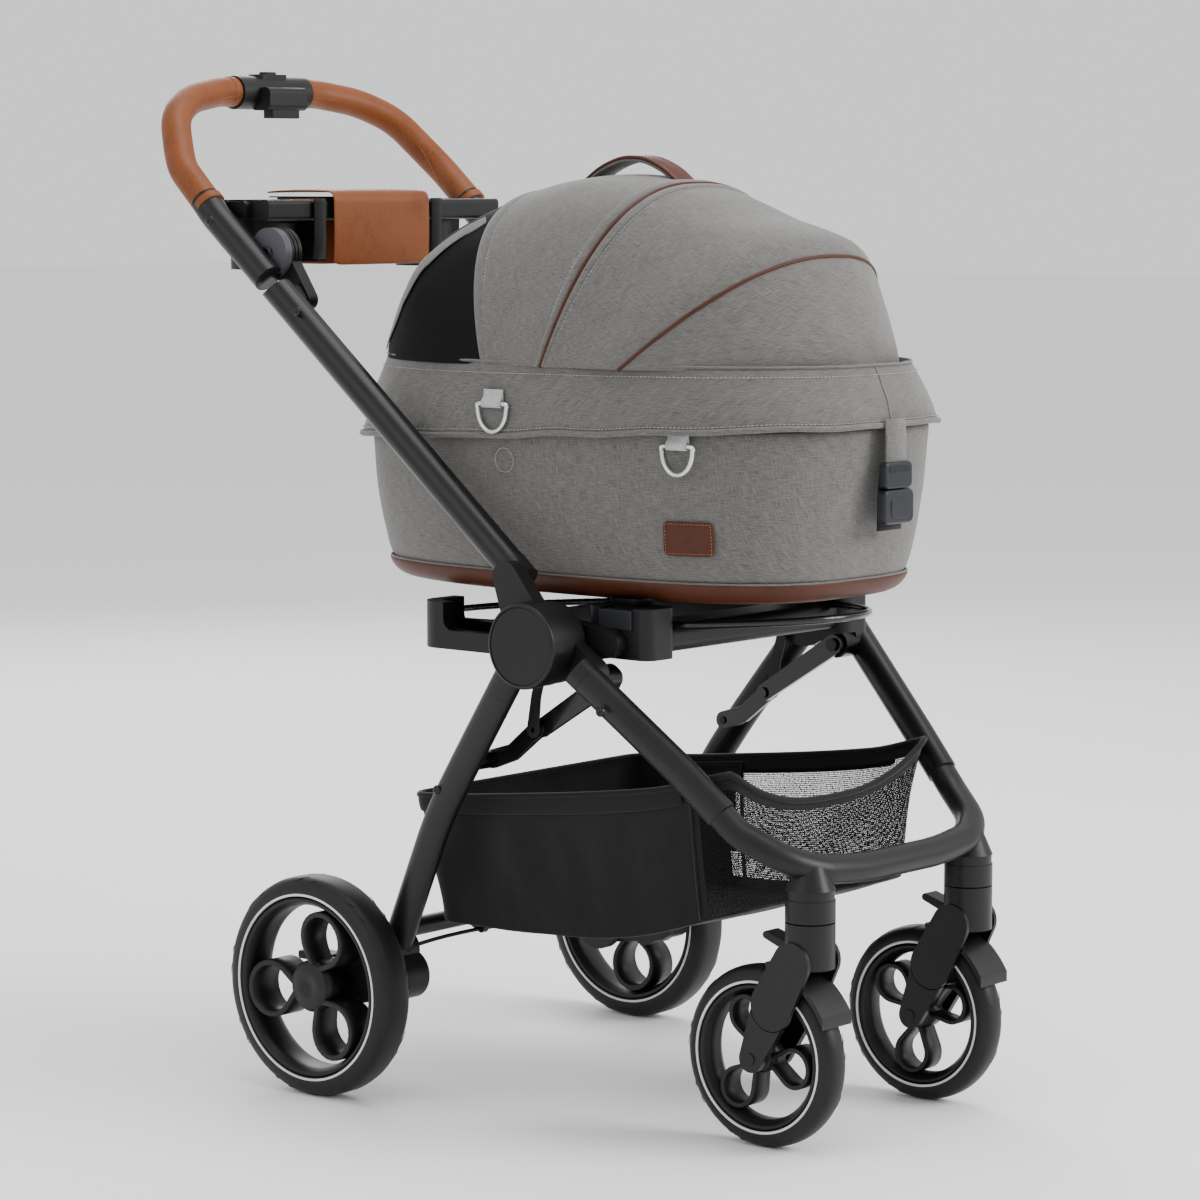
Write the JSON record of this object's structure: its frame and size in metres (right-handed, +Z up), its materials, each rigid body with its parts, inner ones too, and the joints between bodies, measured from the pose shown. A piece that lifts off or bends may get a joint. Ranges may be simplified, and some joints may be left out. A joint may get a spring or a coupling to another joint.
{
  "type": "stroller",
  "caption": "Folding four-wheel stroller frame with a leather push handle, carrying platform, shopping basket and lift-off soft pod with a hooped canopy",
  "frame": {"origin": "on the floor, under the middle of the bounding box", "axes": "+X to the left-hand side of the person pushing, -Y the way it travels, +Z up"},
  "size_m": [0.572, 0.9466, 1.093],
  "materials": {
    "frame_black": "satin black powder-coated aluminium tube",
    "plastic_black": "fine-grained black nylon moulding",
    "plastic_grey": "dark grey moulded plastic",
    "steel": "bright steel pins and rings",
    "links_black": "black-coated pressed steel",
    "tyre_rubber": "solid black foam tyre with a light line",
    "leather_tan": "tan stitched leather",
    "leather_dark": "brown leather",
    "fabric_grey": "grey melange linen-look fabric",
    "fabric_pad": "soft quilted lining",
    "fabric_black": "black twill and mesh"
  },
  "bodies": {
    "front_frame": {"front_leg_right": "frame_black", "front_leg_left": "frame_black", "leg_sockets": "plastic_black", "fold_pins": "steel", "front_bow": "plastic_black", "caster_housings": "plastic_black", "platform_beam": "plastic_black", "platform_tray": "plastic_black", "platform_ring": "frame_black", "fold_straps": "links_black", "basket": "fabric_black"},
    "push_frame": {"push_tubes": "frame_black", "push_collars": "plastic_black", "knuckle_inner_discs": "plastic_grey"},
    "handle": {"handle_tube": "frame_black", "knuckle_outer_discs": "plastic_grey", "handle_grips": "leather_tan", "release_housing": "plastic_black", "console_frame": "plastic_black", "pouch": "leather_tan"},
    "pouch_flap": {"pouch_flap": "leather_tan"},
    "release_slider": {"release_slider": "plastic_black"},
    "release_trigger": {"release_trigger": "plastic_black"},
    "rear_frame": {"rear_leg_right": "frame_black", "rear_leg_left": "frame_black", "hub_housings": "plastic_black", "hub_caps": "plastic_black", "rear_cross_tube": "frame_black", "axle_brackets": "plastic_black", "rear_pins": "steel", "brake_cable": "plastic_black"},
    "brake_pedal": {"brake_pedal": "plastic_black"},
    "front_links": {"front_links": "links_black"},
    "rear_links": {"rear_links": "links_black"},
    "pod": {"pod_band": "leather_dark", "pod_tub": "fabric_grey", "pod_pad": "fabric_pad", "pod_skirt": "fabric_grey", "canopy_shell": "fabric_grey", "carry_strap": "fabric_grey", "front_buckle": "plastic_grey"},
    "canopy_front": {"canopy_front": "fabric_grey"},
    "d_ring_rear": {"d_ring_rear": "steel"},
    "d_ring_front": {"d_ring_front": "steel"},
    "adapter_button_right": {"adapter_button_right": "plastic_grey"},
    "adapter_button_left": {"adapter_button_left": "plastic_grey"},
    "rear_wheel_right": {"rear_tyre_right": "tyre_rubber", "rear_rim_right": "plastic_black"},
    "caster_fork_right": {"caster_fork_right": "plastic_black"},
    "caster_arm_right": {"caster_arm_right": "plastic_black"},
    "front_wheel_right": {"front_tyre_right": "tyre_rubber", "front_rim_right": "plastic_black"},
    "swivel_lock_right": {"swivel_lock_right": "plastic_black"},
    "rear_wheel_left": {"rear_tyre_left": "tyre_rubber", "rear_rim_left": "plastic_black"},
    "caster_fork_left": {"caster_fork_left": "plastic_black"},
    "caster_arm_left": {"caster_arm_left": "plastic_black"},
    "front_wheel_left": {"front_tyre_left": "tyre_rubber", "front_rim_left": "plastic_black"},
    "swivel_lock_left": {"swivel_lock_left": "plastic_black"}
  },
  "joints": [
    {"name": "frame_fold", "type": "hinge", "parent": "front_frame", "child": "push_frame", "pos_m": [0, -0.1597, 0.502], "axis": [1, 0, 0], "range_deg": [0, 105], "deforming": ["basket", "fold_straps"]},
    {"name": "rear_fold", "type": "hinge", "parent": "front_frame", "child": "rear_frame", "pos_m": [0, -0.1597, 0.502], "axis": [1, 0, 0], "range_deg": [-46, 1]},
    {"name": "front_link_fold", "type": "hinge", "parent": "front_frame", "child": "front_links", "pos_m": [0, -0.2197, 0.4683], "axis": [1, 0, 0], "range_deg": [-76, 1]},
    {"name": "rear_link_fold", "type": "hinge", "parent": "rear_frame", "child": "rear_links", "pos_m": [0, -0.0627, 0.371], "axis": [1, 0, 0], "range_deg": [-1, 62]},
    {"name": "handle_angle", "type": "hinge", "parent": "push_frame", "child": "handle", "pos_m": [0, 0.25242, 0.89233], "axis": [1, 0, 0], "range_deg": [-20, 35]},
    {"name": "flap_open", "type": "hinge", "parent": "handle", "child": "pouch_flap", "pos_m": [0, 0.3663, 0.953], "axis": [-1, 0, 0], "range_deg": [0, 100]},
    {"name": "slider_push", "type": "slide", "parent": "handle", "child": "release_slider", "axis": [-1, 0, 0], "range_m": [0, 0.006], "stiffness_N_per_m": 150},
    {"name": "trigger_squeeze", "type": "slide", "parent": "handle", "child": "release_trigger", "axis": [0, 0, 1], "range_m": [0, 0.006], "stiffness_N_per_m": 250, "springref_m": -0.002},
    {"name": "brake_press", "type": "hinge", "parent": "rear_frame", "child": "brake_pedal", "pos_m": [0, 0.1703, 0.124], "axis": [-1, 0, 0], "range_deg": [0, 18]},
    {"name": "pod_lift", "type": "slide", "parent": "front_frame", "child": "pod", "axis": [0, 0, 1], "range_m": [0, 0.15]},
    {"name": "canopy_back", "type": "hinge", "parent": "pod", "child": "canopy_front", "pos_m": [0, -0.0907, 0.66], "axis": [-1, 0, 0], "range_deg": [0, 28], "deforming": ["canopy_front"]},
    {"name": "d_ring_rear_swing", "type": "hinge", "parent": "pod", "child": "d_ring_rear", "pos_m": [-0.1976, -0.0657, 0.741], "axis": [0, 1, 0], "range_deg": [0, 75]},
    {"name": "d_ring_front_swing", "type": "hinge", "parent": "pod", "child": "d_ring_front", "pos_m": [-0.178, -0.2957, 0.706], "axis": [0, 1, 0], "range_deg": [0, 75]},
    {"name": "button_press_right", "type": "slide", "parent": "front_frame", "child": "adapter_button_right", "axis": [1, 0, 0], "range_m": [0, 0.005], "stiffness_N_per_m": 300, "springref_m": -0.001},
    {"name": "button_press_left", "type": "slide", "parent": "front_frame", "child": "adapter_button_left", "axis": [-1, 0, 0], "range_m": [0, 0.005], "stiffness_N_per_m": 300, "springref_m": -0.001},
    {"name": "rear_wheel_spin_right", "type": "hinge", "parent": "rear_frame", "child": "rear_wheel_right", "pos_m": [-0.264, 0.1243, 0.118], "axis": [1, 0, 0], "continuous": true},
    {"name": "caster_swivel_right", "type": "hinge", "parent": "front_frame", "child": "caster_fork_right", "pos_m": [-0.1366, -0.4344, 0.2364], "axis": [0, 0, 1], "continuous": true},
    {"name": "suspension_right", "type": "hinge", "parent": "caster_fork_right", "child": "caster_arm_right", "pos_m": [-0.1366, -0.4057, 0.15], "axis": [1, 0, 0], "range_deg": [0, 5], "stiffness_Nm_per_rad": 30, "springref_deg": -5.73},
    {"name": "front_wheel_spin_right", "type": "hinge", "parent": "caster_arm_right", "child": "front_wheel_right", "pos_m": [-0.1366, -0.3801, 0.0932], "axis": [1, 0, 0], "continuous": true},
    {"name": "swivel_lock_press_right", "type": "hinge", "parent": "caster_fork_right", "child": "swivel_lock_right", "pos_m": [-0.1366, -0.4124, 0.2094], "axis": [1, 0, 0], "range_deg": [0, 14]},
    {"name": "rear_wheel_spin_left", "type": "hinge", "parent": "rear_frame", "child": "rear_wheel_left", "pos_m": [0.264, 0.1243, 0.118], "axis": [1, 0, 0], "continuous": true},
    {"name": "caster_swivel_left", "type": "hinge", "parent": "front_frame", "child": "caster_fork_left", "pos_m": [0.1366, -0.4344, 0.2364], "axis": [0, 0, 1], "continuous": true},
    {"name": "suspension_left", "type": "hinge", "parent": "caster_fork_left", "child": "caster_arm_left", "pos_m": [0.1366, -0.4057, 0.15], "axis": [1, 0, 0], "range_deg": [0, 5], "stiffness_Nm_per_rad": 30, "springref_deg": -5.73},
    {"name": "front_wheel_spin_left", "type": "hinge", "parent": "caster_arm_left", "child": "front_wheel_left", "pos_m": [0.1366, -0.3801, 0.0932], "axis": [1, 0, 0], "continuous": true},
    {"name": "swivel_lock_press_left", "type": "hinge", "parent": "caster_fork_left", "child": "swivel_lock_left", "pos_m": [0.1366, -0.4124, 0.2094], "axis": [1, 0, 0], "range_deg": [0, 14]}
  ],
  "couplings": [
    {"joint": "rear_fold", "follows": "frame_fold", "ratio": -0.42857},
    {"joint": "front_link_fold", "follows": "frame_fold", "ratio": -0.71429},
    {"joint": "rear_link_fold", "follows": "frame_fold", "ratio": 0.58095}
  ]
}
